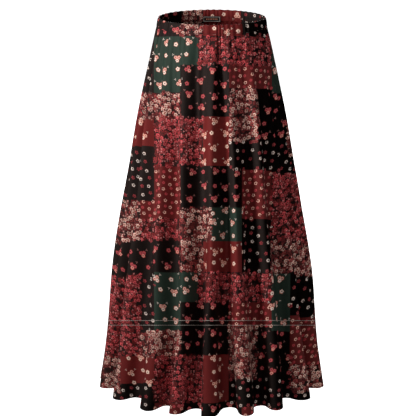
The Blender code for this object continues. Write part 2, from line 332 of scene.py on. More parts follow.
def outward_normal(surface, phase, drop):
    """The unit normal of a surface(phase, drop): the cross product of small steps down it and round it."""
    step = 2e-4
    around = surface(phase + step, drop) - surface(phase - step, drop)
    down = surface(phase, drop + step) - surface(phase, drop - step)
    normal = np.cross(down, around)
    return normal / np.linalg.norm(normal, axis=-1, keepdims=True)


# ---- Where the print lies on the cloth ----


def least_print(drop):
    """The least print for each step round the ring: it grows smoothly from the waist's to the one below."""
    waist, below = PRINT_SLOPE_LEAST
    return waist + (below - waist) * smooth((drop - PRINT_SLOPE_TOP) / (PRINT_SLOPE_END - PRINT_SLOPE_TOP))


def print_across(angle, half_width, least):
    """Metres from the middle of a panel: half_width g(t), where g rises by cos t or by the least slope,
    whichever is more."""
    turned = np.abs(angle)
    bend = np.arccos(least)
    g = np.where(turned < bend, np.sin(turned), np.sin(bend) + least * (turned - bend))
    return half_width * g * np.sign(angle)


def print_down(phase, drop):
    """The drop, less a bow towards the seams and the cloth's growth below the hips, plus the rise over the
    crests."""
    bow = (PRINT_BOW + PRINT_BOW_SLOPE * drop) * (1 - np.abs(np.cos(ring_angle(phase, drop))))
    growth = PRINT_GROWTH * smooth((drop - PRINT_GROWTH_TOP) / (PRINT_GROWTH_END - PRINT_GROWTH_TOP))
    return drop - bow - growth + PRINT_RISE * (tube_folds(phase, drop) + creases(phase, drop))


def topstitch_drop(phase, row):
    """The drop at which drop + rise |y| gives a row's own drop, found by repeated correction, so that each
    row looks straight from the front."""
    drop = np.full(np.shape(phase), float(row))
    for _ in range(12):
        drop = row - TOPSTITCH_RISE * np.abs(skirt_surface(phase, drop)[..., 1])
    return drop


def patch_place(points, phase, drop, middle, is_back):
    """Where the patches lie, in metres: across, how far the cloth has reached from the middle of its panel
    as seen from the front, |x| never falling again behind a tube, plus half_width (g - sin t) beside the
    seams, and down, from print_down."""
    angle = ring_angle(phase, drop)
    if is_back:
        angle = np.pi - angle
    side = np.sign(points[0, -1, 0] - points[0, 0, 0])
    x = points[..., 0] * side
    before = np.minimum.accumulate(x[:, middle::-1], axis=1)[:, ::-1]
    after = np.maximum.accumulate(x[:, middle:], axis=1)[:, 1:]
    reached = np.concatenate([before, after], axis=1)
    half_width = section("half_width", drop)
    across = reached * side + print_across(angle, half_width, least_print(drop)) - half_width * np.sin(angle)
    down = print_down(phase, drop) + BACK_PRINT_SHIFT * is_back
    return np.stack([across, down], axis=-1)


def flower_place(points, place, middle):
    """Where the flowers lie, in metres: each step of cloth counts for its width across the view or for
    FLOWER_LEAST of its length, whichever is more, so a flower on the side of a tube keeps its shape.
    The steps are added up from the panel's middle column, where both places agree."""
    steps = np.diff(points, axis=1)
    counted = np.maximum(np.abs(steps[..., 0]), FLOWER_LEAST * np.linalg.norm(steps, axis=-1))
    reached = np.concatenate([np.zeros((len(points), 1)), np.cumsum(counted, axis=1)], axis=1)
    side = np.sign(place[0, -1, 0] - place[0, 0, 0])
    across = place[:, middle, :1] + (reached - reached[:, [middle]]) * side
    return np.stack([across, place[..., 1]], axis=-1)


# ---- Meshes ----


def piece(name, points, faces, look, **places):
    """One mesh from an array of points and an array of faces that all have as many corners. Each place is
    a UV map in metres, with a row for each point."""
    mesh = bpy.data.meshes.new(name)
    mesh.vertices.add(len(points))
    mesh.vertices.foreach_set("co", np.ascontiguousarray(points, np.float32).ravel())
    mesh.loops.add(faces.size)
    mesh.loops.foreach_set("vertex_index", faces.ravel().astype(np.int32))
    mesh.polygons.add(len(faces))
    mesh.polygons.foreach_set("loop_start", np.arange(0, faces.size, faces.shape[1], dtype=np.int32))
    mesh.update(calc_edges=True)
    for title, place in places.items():
        layer = mesh.uv_layers.new(name=title)
        layer.data.foreach_set("uv", place.reshape(-1, 2)[faces.ravel()].astype(np.float32).ravel())
    mesh.validate()
    mesh.shade_smooth()
    mesh.set_sharp_from_angle(angle=np.radians(65))
    mesh.materials.append(look)
    made = bpy.data.objects.new(name, mesh)
    bpy.context.scene.collection.objects.link(made)
    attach(made, "root")
    return made


def grid_quads(rows, columns, round_rows=False, round_columns=False):
    """Quads of a grid numbered row by row, facing out where rows go down and columns round to the right."""
    starts = np.arange(rows if round_rows else rows - 1), np.arange(columns if round_columns else columns - 1)
    row, column = np.meshgrid(*starts, indexing="ij")
    below, beside = (row + 1) % rows, (column + 1) % columns
    corners = ((row, column), (below, column), (below, beside), (row, beside))
    return np.stack([line * columns + place for line, place in corners], axis=-1).reshape(-1, 4)


def shell(name, outer, inner, look, **places):
    """A closed sheet of cloth between an outer and an inner grid of the same size."""
    rows, columns = outer.shape[:2]
    count = rows * columns
    quads = grid_quads(rows, columns)
    index = np.arange(count).reshape(rows, columns)
    rim = np.concatenate([index[0], index[1:, -1], index[-1, -2::-1], index[-2::-1, 0]])
    edge = np.stack([rim[:-1], rim[1:], rim[1:] + count, rim[:-1] + count], axis=-1)
    faces = np.concatenate([quads, quads[:, ::-1] + count, edge])
    points = np.concatenate([outer.reshape(-1, 3), inner.reshape(-1, 3)])
    doubled = {title: np.stack([place, place]) for title, place in places.items()}
    return piece(name, points, faces, look, **doubled)


PANEL_COLUMNS = 34  # for each fold
MIDDLE_PHASE = (5.0, 15.5)  # of the front, and of the back
PANEL_ROWS = 118
ROW_CROWDING = 1.25  # the power that draws the rows together near the waist
SEAM_GAP = 0.0003  # between the casing and the panels
HEM_WAVES = ((0.0012, 13, 0.2), (0.0008, 37, 0.7))  # the hem's unevenness: height, how many round, shift
SEAM_FOLD_ANGLE = 0.33  # radians: between what the fold across a side seam takes up at the waist and the hem
GROOVE_DEPTH, GROOVE_WIDTH = 0.0016, 0.0022  # of the side seams
TUCK_DEPTH, TUCK_LENGTH = 0.0009, 0.004  # how far the panels draw in below the casing, and over what drop
HEM_EDGE = 0.0012  # the drop over which the inner face steps in at the turned-up hem's edge


def panel(name, first_crest, folds, look, is_back):
    """A front or back panel between its side seams, from the casing's seam to the hem."""
    phase = np.linspace(first_crest - 0.5, first_crest + folds - 0.5, folds * PANEL_COLUMNS + 1)
    phase, shares = np.meshgrid(phase, np.linspace(0, 1, PANEL_ROWS) ** ROW_CROWDING)
    hem = SKIRT_DROP + sum(height * ring_wave(phase, waves, shift) for height, waves, shift in HEM_WAVES)
    top = CASING_HEIGHT + SEAM_GAP
    drop = top + (hem - top) * shares
    outer = skirt_surface(phase, drop)
    normal = outward_normal(skirt_surface, phase, drop)
    from_seam = np.minimum(phase - phase[0, 0], phase[0, -1] - phase) * SEAM_FOLD_ANGLE
    from_seam = from_seam * section("half_width", drop)
    groove = GROOVE_DEPTH * np.exp(-((from_seam / GROOVE_WIDTH) ** 2))
    tucked = TUCK_DEPTH * (1 - smooth((drop - CASING_HEIGHT) / TUCK_LENGTH))
    outer = outer - (groove + tucked)[..., None] * normal
    layers = 1 + smooth((drop - (SKIRT_DROP - HEM_TURN_UP)) / HEM_EDGE)
    inner = outer - (CLOTH * layers)[..., None] * normal
    middle = np.abs(phase[0] - MIDDLE_PHASE[is_back]).argmin()
    patches = patch_place(outer, phase, drop, middle, is_back)
    return shell(name, outer, inner, look, patches=patches, flowers=flower_place(outer, patches, middle))


CASING_COLUMNS = 40  # for each fold
RIM_WIDTH, RIM_DEPTH = 0.1292, 0.0955  # half sizes of the casing's top edge
LIP = 0.0014  # how far the cloth rounds over the elastic's edges
CASING_EDGE_GAP = 0.0004  # how far above its seam the casing's cloth ends
CASING_ALLOWANCE = (0.0240, 0.0262, 0.0285)  # the drops of the seam's allowance inside, down to its end
CASING_BELLY = 0.0004  # how far the cloth swells over the elastic
CASING_RIDGES = (0.9, 0.55)  # its gathers on the outer face and the inner one, as shares of the panels'
STITCH_DIP, STITCH_DIP_WIDTH = 0.0006, 0.0011  # how far the casing's stitches draw the cloth in, and how wide
RIM_WAVES, RIM_WAVE_HEIGHT = 47, 0.0005  # of the casing's top edge
ALLOWANCE_STEP, ALLOWANCE_WALL = 0.0026, 0.0009


def casing_loop():
    """Once round the casing's cut edge, from its outer seam up, over the top, down inside to the end of the
    seam's allowance and back up behind it: drops and steps outward."""
    outer = np.linspace(CASING_HEIGHT - CASING_EDGE_GAP, LIP, 12)
    turn = np.linspace(0, np.pi, 7)[1:-1]
    half_wall = CASING_WALL / 2
    allowance = np.array(CASING_ALLOWANCE)
    drops = np.concatenate([outer, LIP * (1 - np.sin(turn)), outer[::-1], allowance, allowance[::-1]])
    steps = np.concatenate([
        outer * 0,
        -half_wall + half_wall * np.cos(turn),
        outer * 0 - CASING_WALL,
        allowance * 0 - ALLOWANCE_STEP - ALLOWANCE_WALL,
        allowance * 0 - ALLOWANCE_STEP,
    ])
    return drops, steps


def casing_ring(drop):
    """Half the casing's width and depth at a drop, straight from the rim's to the seam's."""
    share = drop / CASING_HEIGHT
    half_width = RIM_WIDTH + (section("half_width", CASING_HEIGHT) - RIM_WIDTH) * share
    half_depth = RIM_DEPTH + (section("half_depth", CASING_HEIGHT) - RIM_DEPTH) * share
    return half_width, half_depth


def casing_face(phase, drop, step):
    """The casing's cloth at a step outward of its outer face: the ring from the rim to the seam, swollen over
    the elastic, ridged on both faces and drawn in along the stitches."""
    outside = np.clip(1 + step / CASING_WALL, 0, 1)  # 1 on the outer face, 0 on the inner one
    share = drop / CASING_HEIGHT
    belly = CASING_BELLY * np.sin(np.pi * np.clip(share, 0, 1)) * (2 * outside - 1)
    ridge = gathers(phase, CASING_HEIGHT) * (CASING_RIDGES[0] * outside - CASING_RIDGES[1] * (1 - outside))
    sewn = STITCH_DIP * np.exp(-(((drop - CASING_STITCH_DROP) / STITCH_DIP_WIDTH) ** 2)) * (2 * outside - 1)
    wavy = RIM_WAVE_HEIGHT * ring_wave(phase, RIM_WAVES, 0.3) * smooth(1 - share * 4)
    angle = ring_angle(phase, CASING_HEIGHT)
    return ring_point(angle, *casing_ring(drop), step + belly + ridge - sewn, 0.0, drop + wavy)


def elastic_casing(look):
    """The gathered tube of cloth round the elastic, closed round the waist."""
    drops, steps = casing_loop()
    phase = np.arange(FOLD_COUNT * CASING_COLUMNS) / CASING_COLUMNS - 0.5
    phase, drop = np.meshgrid(phase, drops)
    step = np.meshgrid(phase[0], steps)[1]
    points = casing_face(phase, drop, step)
    angle = ring_angle(phase, CASING_HEIGHT)
    down = np.where(step < -CASING_WALL / 2, -drop - CASING_WALL, drop)
    down = down - PRINT_BOW * (1 - np.abs(np.cos(angle)))
    middle = np.where(angle > np.pi / 2, np.pi - angle, angle)
    patches = np.stack([print_across(middle, RIM_WIDTH, least_print(CASING_HEIGHT)), down], axis=-1)
    flowers = np.stack([print_across(middle, RIM_WIDTH, FLOWER_LEAST), down], axis=-1)
    faces = grid_quads(*phase.shape, round_rows=True, round_columns=True)[:, ::-1]
    return piece("elastic_casing", points.reshape(-1, 3), faces, look, patches=patches, flowers=flowers)


LABEL_WIDTH, LABEL_TOP, LABEL_LENGTH, LABEL_WALL = 0.043, 0.0165, 0.0145, 0.0008
LABEL_FOLD, LABEL_FOLD_EDGE = 0.0022, 0.0005  # the folded end at each side, and how sharply it steps
LABEL_STAND = 0.0013  # how far the label stands off the casing's inner face
LABEL_CURL, LABEL_RIPPLE = 0.0010, 0.00025  # at its free lower edge


def woven_label(look):
    """A small woven satin label on the casing's inner face at the centre back: a flat ribbon whose ends are
    folded under, so that its sides are twice as thick, and whose lower edge hangs free."""
    x, drop = np.meshgrid(
        LABEL_WIDTH * (np.linspace(0, 1, 45) - 0.5), LABEL_TOP + LABEL_LENGTH * np.linspace(0, 1, 17)
    )
    share = (drop - LABEL_TOP) / LABEL_LENGTH
    angle = np.pi - x / RIM_WIDTH
    folded = smooth((np.abs(x) - LABEL_WIDTH / 2 + LABEL_FOLD) / LABEL_FOLD_EDGE)
    curl = LABEL_CURL * share**2 + LABEL_RIPPLE * np.sin(x * 430) * share
    back = -CASING_WALL - LABEL_STAND - curl
    behind = ring_point(angle, *casing_ring(drop), back, 0.0, drop)
    facing = ring_point(angle, *casing_ring(drop), back - LABEL_WALL * (0.5 + 0.5 * folded), 0.0, drop)
    place = np.stack([x, drop - LABEL_TOP], axis=-1)
    return shell("woven_label", facing, behind, look, label=place)


STITCH_SIDES = 5
STITCH_RINGS = ((-0.50, 0.30), (-0.36, 0.85), (0.0, 1.0), (0.36, 0.85), (0.50, 0.30))  # along, and thickness
STITCH_ARCH = 0.4  # how strongly a stitch arches up out of the cloth


def stitches(name, path, normal, length, pitch, thickness, look):
    """A row of stitches, each a thread bent into the cloth at both ends: small closed tubes along a path."""
    reached = np.concatenate([[0.0], np.cumsum(np.linalg.norm(np.diff(path, axis=0), axis=1))])
    count = int(reached[-1] / pitch)
    centres = (np.arange(count) + 0.5) * reached[-1] / count

    def read(values, at):
        return np.stack([np.interp(at, reached, values[:, axis]) for axis in range(3)], axis=-1)

    middle, up = read(path, centres), read(normal, centres)
    ahead = read(path, centres + length / 2) - read(path, centres - length / 2)
    ahead /= np.linalg.norm(ahead, axis=-1, keepdims=True)
    up /= np.linalg.norm(up, axis=-1, keepdims=True)
    across = np.cross(up, ahead)
    turn = 2 * np.pi * np.arange(STITCH_SIDES) / STITCH_SIDES
    along, girth = np.array(STITCH_RINGS).T
    thick = thickness / 2 * girth[:, None]
    height = thick * np.cos(turn) + thickness * STITCH_ARCH * (girth[:, None] - 0.5)
    width = thick * np.sin(turn)
    reach = np.broadcast_to(length * along[:, None], height.shape)
    steps = ((reach, ahead), (width, across), (height, up))
    points = middle[:, None, None] + sum(size[..., None] * way[:, None, None] for size, way in steps)
    one = grid_quads(len(along), STITCH_SIDES, round_columns=True)
    first, last = np.arange(STITCH_SIDES), (len(along) - 1) * STITCH_SIDES + np.arange(STITCH_SIDES)
    caps = [[first[0], first[i + 1], first[i]] for i in range(1, STITCH_SIDES - 1)]
    caps += [[last[0], last[i], last[i + 1]] for i in range(1, STITCH_SIDES - 1)]
    triangles = np.concatenate([one[:, [0, 1, 2]], one[:, [0, 2, 3]], np.array(caps)])
    stride = len(along) * STITCH_SIDES
    faces = (triangles[None] + stride * np.arange(count)[:, None, None]).reshape(-1, 3)
    return piece(name, points.reshape(-1, 3), faces, look)


# Each kind of stitch: its length, the pitch from one to the next, and its thickness.
TOPSTITCH = (0.0046, 0.0049, 0.0013)
HEM_STITCH = (0.0028, 0.0036, 0.0006)
CASING_STITCH = (0.0026, 0.0031, 0.0007)
STITCH_LIFT = 0.0001  # how far the topstitching is lifted off the cloth, and the hem's is sunk into it


def skirt_stitches(name, phase, drop, size, look, lift):
    """Stitches through the skirt's cloth along a line of phases and drops, lifted off it or sunk into it."""
    normal = outward_normal(skirt_surface, phase, drop)
    return stitches(name, skirt_surface(phase, drop) + lift * normal, normal, *size, look)


def casing_stitches(name, step, side, look):
    """A row of stitches round the casing, on its outer face (side 1) or its inner one (side -1)."""
    phase = np.linspace(-0.5, FOLD_COUNT - 0.5, FOLD_COUNT * 60)
    path = casing_face(phase, CASING_STITCH_DROP, step)
    angle = ring_angle(phase, CASING_HEIGHT)
    out = np.stack([np.sin(angle) / RIM_WIDTH, -np.cos(angle) / RIM_DEPTH, angle * 0], axis=-1)
    return stitches(name, path, side * out, *CASING_STITCH, look)


OVERLOCK_WIDTH, OVERLOCK_WALL = 0.012, 0.0013
OVERLOCK_STAND, OVERLOCK_LIFT, OVERLOCK_RIPPLE = 0.0014, 0.0008, 0.0003  # off the cloth, and more at its edge
OVERLOCK_PRINT = 0.31  # where the strips are cut in the print, across
OVERLOCK_ANGLE = 18  # degrees: about what one fold takes up round the ring


def seam_allowance(name, seam, towards, look):
    """The two panels' allowances at a side seam, overlocked together and pressed towards the back: a strip
    inside the skirt, which stands further off the cloth towards its free edge."""
    drops = np.linspace(CASING_ALLOWANCE[-1], SKIRT_DROP - 0.002, 110)
    share, drop = np.meshgrid(np.linspace(0, 1, 9), drops)
    width = OVERLOCK_WIDTH / (section("half_width", drop) * np.radians(OVERLOCK_ANGLE))
    phase = seam + towards * share * width
    normal = outward_normal(skirt_surface, phase, drop)
    face = skirt_surface(phase, drop)
    under = CLOTH + OVERLOCK_STAND + OVERLOCK_LIFT * share + OVERLOCK_RIPPLE * np.sin(drop * 160) * share
    outer = face - under[..., None] * normal
    inner = face - (under + OVERLOCK_WALL)[..., None] * normal
    if towards < 0:
        outer, inner, share, drop = outer[:, ::-1], inner[:, ::-1], share[:, ::-1], drop[:, ::-1]
    place = np.stack([share * OVERLOCK_WIDTH + OVERLOCK_PRINT, drop], axis=-1)
    return shell(name, outer, inner, look, patches=place, flowers=place)


# ---- Materials ----


def add(tree, kind, *inputs, **settings):
    """Adds a node with its settings, fills or links its open inputs in order (or by name, from a dictionary),
    and gives its output, or a tuple of its outputs."""
    node = tree.nodes.new("ShaderNode" + kind)
    for name, value in settings.items():
        setattr(node, name, value)
    if inputs and isinstance(inputs[0], dict):
        pairs = [(node.inputs[name], value) for name, value in inputs[0].items()]
    else:
        pairs = zip([socket for socket in node.inputs if socket.enabled], inputs)
    for socket, value in pairs:
        if isinstance(value, bpy.types.NodeSocket):
            tree.links.new(value, socket)
        elif value is not None:
            socket.default_value = value
    outputs = tuple(socket for socket in node.outputs if socket.enabled)
    return outputs[0] if len(outputs) == 1 else outputs


def stepped(tree, value, stops, interpolation="CONSTANT"):
    """A colour ramp of (position, colour) stops, which gives colour and alpha."""
    colour, alpha = add(tree, "ValToRGB", value)
    ramp = colour.node.color_ramp
    ramp.interpolation = interpolation
    ramp.elements.remove(ramp.elements[1])
    ramp.elements[0].position, ramp.elements[0].color = stops[0]
    for position, shade in stops[1:]:
        ramp.elements.new(position).color = shade
    return colour, alpha


def alpha_only(alpha):
    """A ramp's colour that is read by its alpha alone."""
    return (0.0, 0.0, 0.0, alpha)


def new_look(name):
    """An empty material, and its node tree."""
    look = bpy.data.materials.new(name)
    look.use_nodes = True
    look.node_tree.nodes.clear()
    return look, look.node_tree


def patch_chart():
    """A node group that gives the number of the flower print, in tenths, at a place in metres."""
    group = bpy.data.node_groups.new("patch_chart", "ShaderNodeTree")
    group.interface.new_socket("Place", in_out="INPUT", socket_type="NodeSocketVector")
    group.interface.new_socket("Fabric", in_out="OUTPUT", socket_type="NodeSocketFloat")
    start, end = group.nodes.new("NodeGroupInput"), group.nodes.new("NodeGroupOutput")
    corner = (REPEAT_LEFT, REPEAT_TOP, 0.0)
    place = add(group, "VectorMath", start.outputs[0], corner, operation="SUBTRACT")
    place = add(group, "VectorMath", place, (1 / REPEAT_WIDTH, 1 / REPEAT_LENGTH, 1.0), operation="MULTIPLY")
    place = add(group, "VectorMath", place, operation="FRACTION")
    across, down, _ = add(group, "SeparateXYZ", place)
    fabric, left_edge = None, 0.0
    for right_edge, patches in PATCH_STRIPS:
        stops, top = [], 0.0
        for name, bottom in patches:
            stops.append((top, alpha_only(FABRICS.index(name) / 10)))
            top = bottom / 100 / REPEAT_LENGTH
        _, strip = stepped(group, down, stops)
        if fabric is None:
            fabric = strip
        else:
            past = add(group, "Math", across, left_edge, operation="GREATER_THAN")
            fabric = add(group, "Mix", past, fabric, strip, data_type="FLOAT")
        left_edge = right_edge / 100 / REPEAT_WIDTH
    group.links.new(fabric, end.inputs[0])
    return group


def fabric_colours(tree, fabric, colours):
    """Each flower print's own colour, see-through where a print isn't named."""
    stops = []
    for number, name in enumerate(FABRICS):
        shade = linear(colours[name]) if name in colours else alpha_only(0.0)
        stops.append((max(0.0, (number - 0.5) / 10), shade))
    return stepped(tree, fabric, stops)


MILLIMETRES = (1000.0, 1000.0, 0.0)  # turns a step in metres into millimetres
HEART_SPREAD = 2.2  # millimetres, across and down, that the flowers' hearts are spread over
PETAL_EDGE = (0.88, 1.06)  # the shares of a flower's radius between which its ink gives out
CLOUD_SCALE = 46.0  # of the clumps, for each metre
SECTOR_SLOPE = 0.577  # the tangent of 30 degrees


def blossom(tree, away, radius, chance, petals=5, lobe=0.14):
    """A flower as two shares of its radius. The first is 0 at its middle and 1 at its edge:
    r / (R (1 - lobe + lobe cos(petals angle + turn))). The second is measured from its heart, which lies a
    little off the middle, now one way and now another."""
    x, y, _ = add(tree, "SeparateXYZ", away)
    _, _, turn = add(tree, "SeparateXYZ", chance)
    turn = add(tree, "Math", turn, 2 * np.pi, operation="MULTIPLY")
    angle = add(tree, "Math", y, x, operation="ARCTAN2")
    angle = add(tree, "Math", angle, float(petals), turn, operation="MULTIPLY_ADD")
    edge = add(tree, "Math", angle, operation="COSINE")
    edge = add(tree, "Math", edge, lobe, 1 - lobe, operation="MULTIPLY_ADD")
    edge = add(tree, "Math", edge, radius, operation="MULTIPLY")
    share = add(tree, "Math", add(tree, "VectorMath", away, operation="LENGTH"), edge, operation="DIVIDE")
    off = add(tree, "VectorMath", chance, (-0.5, -0.5, -0.5), operation="ADD")
    off = add(tree, "VectorMath", off, (HEART_SPREAD, HEART_SPREAD, 0.0), operation="MULTIPLY")
    heart = add(tree, "VectorMath", away, off, operation="SUBTRACT")
    heart = add(tree, "Math", add(tree, "VectorMath", heart, operation="LENGTH"), radius, operation="DIVIDE")
    return share, heart


def lay_over(tree, cloth, flower, fabric, colours, tones, strength=None, light=None):
    """Prints one layer of flowers over the cloth so far. tones are the (share, colour) stops that a petal's
    colour is multiplied by, from the heart out. strength and light are how far each flower shows, and how
    bright it is."""
    share, heart = flower
    petals, printed = fabric_colours(tree, fabric, colours)
    tone, _ = stepped(tree, heart, [(at, linear(colour)) for at, colour in tones], "LINEAR")
    petals = add(tree, "VectorMath", petals, tone, operation="MULTIPLY")
    if light is not None:
        petals = add(tree, "VectorMath", petals, light, operation="MULTIPLY")
    inside = add(tree, "MapRange", share, *PETAL_EDGE, 1.0, 0.0)
    inside = add(tree, "Math", inside, printed, operation="MULTIPLY")
    if strength is not None:
        inside = add(tree, "Math", inside, strength, operation="MULTIPLY")
    return add(tree, "Mix", inside, cloth, petals, data_type="RGBA")


def print_at(tree, chart, places, middle):
    """The number of the flower print at a flower's middle."""
    patches, flowers = places
    away = add(tree, "VectorMath", middle, flowers, operation="SUBTRACT")
    return add(tree, "Group", add(tree, "VectorMath", patches, away, operation="ADD"), node_tree=chart)


def scattered(tree, chart, places, cell, jitter, shift):
    """Flowers one to a cell of a square net, moved about in it: gives the way from the flower's middle in
    millimetres, the flower print there, whether the cell is odd, and the cell's chance numbers."""
    net = add(tree, "VectorMath", places[1], (1 / cell,) * 3, shift, operation="MULTIPLY_ADD")
    corner = add(tree, "VectorMath", net, operation="FLOOR")
    _, chance = add(tree, "TexWhiteNoise", corner, noise_dimensions="3D")
    middle = add(tree, "VectorMath", chance, (jitter, jitter, 0.0), corner, operation="MULTIPLY_ADD")
    middle = add(tree, "VectorMath", middle, (0.5 - jitter / 2, 0.5 - jitter / 2, 0.0), operation="ADD")
    away = add(tree, "VectorMath", net, middle, operation="SUBTRACT")
    away = add(tree, "VectorMath", away, (cell * 1000, cell * 1000, 0.0), operation="MULTIPLY")
    back = add(tree, "VectorMath", middle, shift, operation="SUBTRACT")
    back = add(tree, "VectorMath", back, (cell,) * 3, operation="MULTIPLY")
    fabric = print_at(tree, chart, places, back)
    column, row, _ = add(tree, "SeparateXYZ", corner)
    odd = add(tree, "Math", column, row, operation="ADD")
    odd = add(tree, "Math", odd, 2.0, operation="FLOORED_MODULO")
    return away, fabric, odd, chance


def packed(tree, chart, places, cell, shift):
    """Flowers crowded together, one to a cell of a Voronoi net: gives the way from the flower's middle in
    millimetres, the flower print there, and the cell's chance numbers."""
    moved = add(tree, "VectorMath", places[1], shift, operation="ADD")
    net = {"Vector": moved, "Scale": 1 / cell, "Randomness": 0.85}
    _, chance, middle = add(tree, "TexVoronoi", net, voronoi_dimensions="2D")
    away = add(tree, "VectorMath", moved, middle, operation="SUBTRACT")
    away = add(tree, "VectorMath", away, MILLIMETRES, operation="MULTIPLY")
    back = add(tree, "VectorMath", middle, shift, operation="SUBTRACT")
    return away, print_at(tree, chart, places, back), chance


def clumps(tree, places, away, least, most):
    """How strongly a crowded flower is printed, from an uneven cloud read at its middle: flowers grow in
    clumps a few centimetres across, with dark cloth between them."""
    middle = add(tree, "VectorMath", away, (-0.001, -0.001, 0.0), places[1], operation="MULTIPLY_ADD")
    cloud = add(tree, "TexNoise", middle, CLOUD_SCALE, 1.0, 0.5, noise_dimensions="2D")[0]
    return add(tree, "MapRange", cloud, least, most, 0.0, 1.0)


def threes(tree, away, odd, spread, turn):
    """On odd cells, turns the plane, folds it into three equal sectors and steps out in each, so that one
    flower shows as a bunch of three round the middle. The lowest sector of the three is also given, as 1."""
    away = add(tree, "VectorRotate", {"Vector": away, "Angle": turn}, rotation_type="Z_AXIS")
    x, y, _ = add(tree, "SeparateXYZ", away)
    distance = add(tree, "VectorMath", away, operation="LENGTH")
    angle = add(tree, "Math", add(tree, "Math", y, x, operation="ARCTAN2"), -np.pi / 6, operation="ADD")
    angle = add(tree, "Math", angle, 2 * np.pi / 3, operation="FLOORED_MODULO")
    angle = add(tree, "Math", angle, np.pi / 3, operation="SUBTRACT")
    sector_x = add(tree, "Math", add(tree, "Math", angle, operation="COSINE"), distance, operation="MULTIPLY")
    sector_y = add(tree, "Math", add(tree, "Math", angle, operation="SINE"), distance, operation="MULTIPLY")
    sector_x = add(tree, "Math", sector_x, spread, operation="SUBTRACT")
    sector = add(tree, "CombineXYZ", sector_x, sector_y, 0.0)
    side = add(tree, "Math", add(tree, "Math", x, operation="ABSOLUTE"), SECTOR_SLOPE, operation="MULTIPLY")
    lowest = add(tree, "Math", y, side, operation="GREATER_THAN")
    return add(tree, "Mix", odd, away, sector, data_type="VECTOR"), lowest


# The layers of crowded flowers, from the back one. Each has its net's cell and shift in metres, a flower's
# radius in millimetres, its petals and how deeply they are cut, each print's colour, and the tones from its
# heart out. strength is a range of a chance number and the range that it becomes, clumps is a range of the
# cloud that stands in for it, and light is a range of brightness.
CROWDED_LAYERS = (
    {  # dark flowers behind
        "cell": 0.0108, "shift": (0.31, 0.17, 0.0), "radius": 6.2, "petals": 5, "lobe": 0.20,
        "strength": (0.10, 0.45, 0.15, 1.0),
        "colours": {"poppy": "#841218", "blush": "#70141a"},
        "tones": ((0.0, "#505050"), (0.35, "#d0d0d0"), (0.8, "#ffffff"), (1.0, "#808080")),
    },
    {  # lighter ones over them
        "cell": 0.0098, "shift": (0.11, 0.57, 0.0), "radius": 5.5, "petals": 5, "lobe": 0.26,
        "clumps": (0.33, 0.44), "light": (0.35, 1.2),
        "colours": {"poppy": "#ca464c", "blush": "#a64240"},
        "tones": (
            (0.0, "#401a1a"), (0.18, "#703a3a"), (0.36, "#ffffff"), (0.75, "#ffffff"), (0.95, "#703838"),
        ),
    },
    {  # pale outlined ones
        "cell": 0.0104, "shift": (0.0, 0.0, 0.0), "radius": 5.2, "petals": 5, "lobe": 0.22,
        "clumps": (0.46, 0.50), "light": (0.5, 1.1),
        "colours": {"blush": "#eac2b2"},
        "tones": (
            (0.0, "#401010"), (0.20, "#8a443e"), (0.34, "#e0a89a"), (0.5, "#ffffff"), (0.8, "#ffffff"),
            (1.0, "#70403a"),
        ),
    },
    {  # buds on top
        "cell": 0.0064, "shift": (0.41, 0.07, 0.0), "radius": 2.5, "petals": 3, "lobe": 0.30,
        "strength": (0.66, 0.70, 0.0, 0.9), "light": (0.5, 1.2),
        "colours": {"poppy": "#e8928e", "blush": "#dca498"},
        "tones": ((0.0, "#a05050"), (0.4, "#ffffff"), (1.0, "#c0a0a0")),
    },
)

# Bunches: their net, a flower's radius alone and in a bunch, how far a bunch is spread and turned either way,
# and the sprigs' place beside and above its middle.
BUNCH_CELL, BUNCH_JITTER, BUNCH_SHIFT = 0.0302, 0.34, (0.35, 0.1, 0.0)
BUNCH_RADII, BUNCH_SPREAD, BUNCH_TURN = (5.9, 5.2), 4.5, 0.8
SPRIG_ASIDE, SPRIG_ABOVE, SPRIG_RADIUS = 10.5, 9.0, 3.0
BUNCH_COLOURS = {"pine": "#dfa193", "wine": "#e2a694", "night": "#b84a50"}
PALE_COLOURS = {"pine": "#ecd2c4", "wine": "#ecccba"}
BLOTCH_COLOURS = {"night": "#de8c80"}
SPRIG_COLOURS = {"pine": "#d6c6ba", "wine": "#dab0a2", "night": "#a06a64"}
BUNCH_TONES = (
    (0.0, "#5a2018"), (0.16, "#6a2c22"), (0.34, "#ffffff"), (0.62, "#ffffff"), (0.82, "#e0a898"),
    (1.0, "#80382e"),
)
SPRIG_TONES = ((0.0, "#404040"), (0.4, "#ffffff"), (1.0, "#d0d0d0"))

# Small flowers of two kinds in turn, on the even cells of a net and on the odd ones.
SMALL_FLOWERS = (
    {  # white and dark red
        "cell": 0.0195, "jitter": 0.44, "shift": (0.0, 0.45, 0.0), "radius": 4.5,
        "even": {"snow": "#dfcdc2"},
        "even_tones": (
            (0.0, "#1c0c0a"), (0.32, "#381410"), (0.50, "#ffffff"), (0.85, "#ffffff"), (1.0, "#b08878"),
        ),
        "odd": {"snow": "#a8343c"},
        "odd_tones": ((0.0, "#604040"), (1.0, "#ffffff")),
    },
    {  # red and pale-edged
        "cell": 0.0140, "jitter": 0.46, "shift": (0.6, 0.2, 0.0), "radius": 4.4,
        "even": {"berry": "#bc3a42"},
        "even_tones": ((0.0, "#602020"), (0.5, "#ffffff"), (1.0, "#a06060")),
        "odd": {"berry": "#f4c4b2"},
        "odd_tones": ((0.0, "#4a0c0e"), (0.40, "#802c28"), (0.60, "#ffffff"), (1.0, "#d09888")),
    },
)


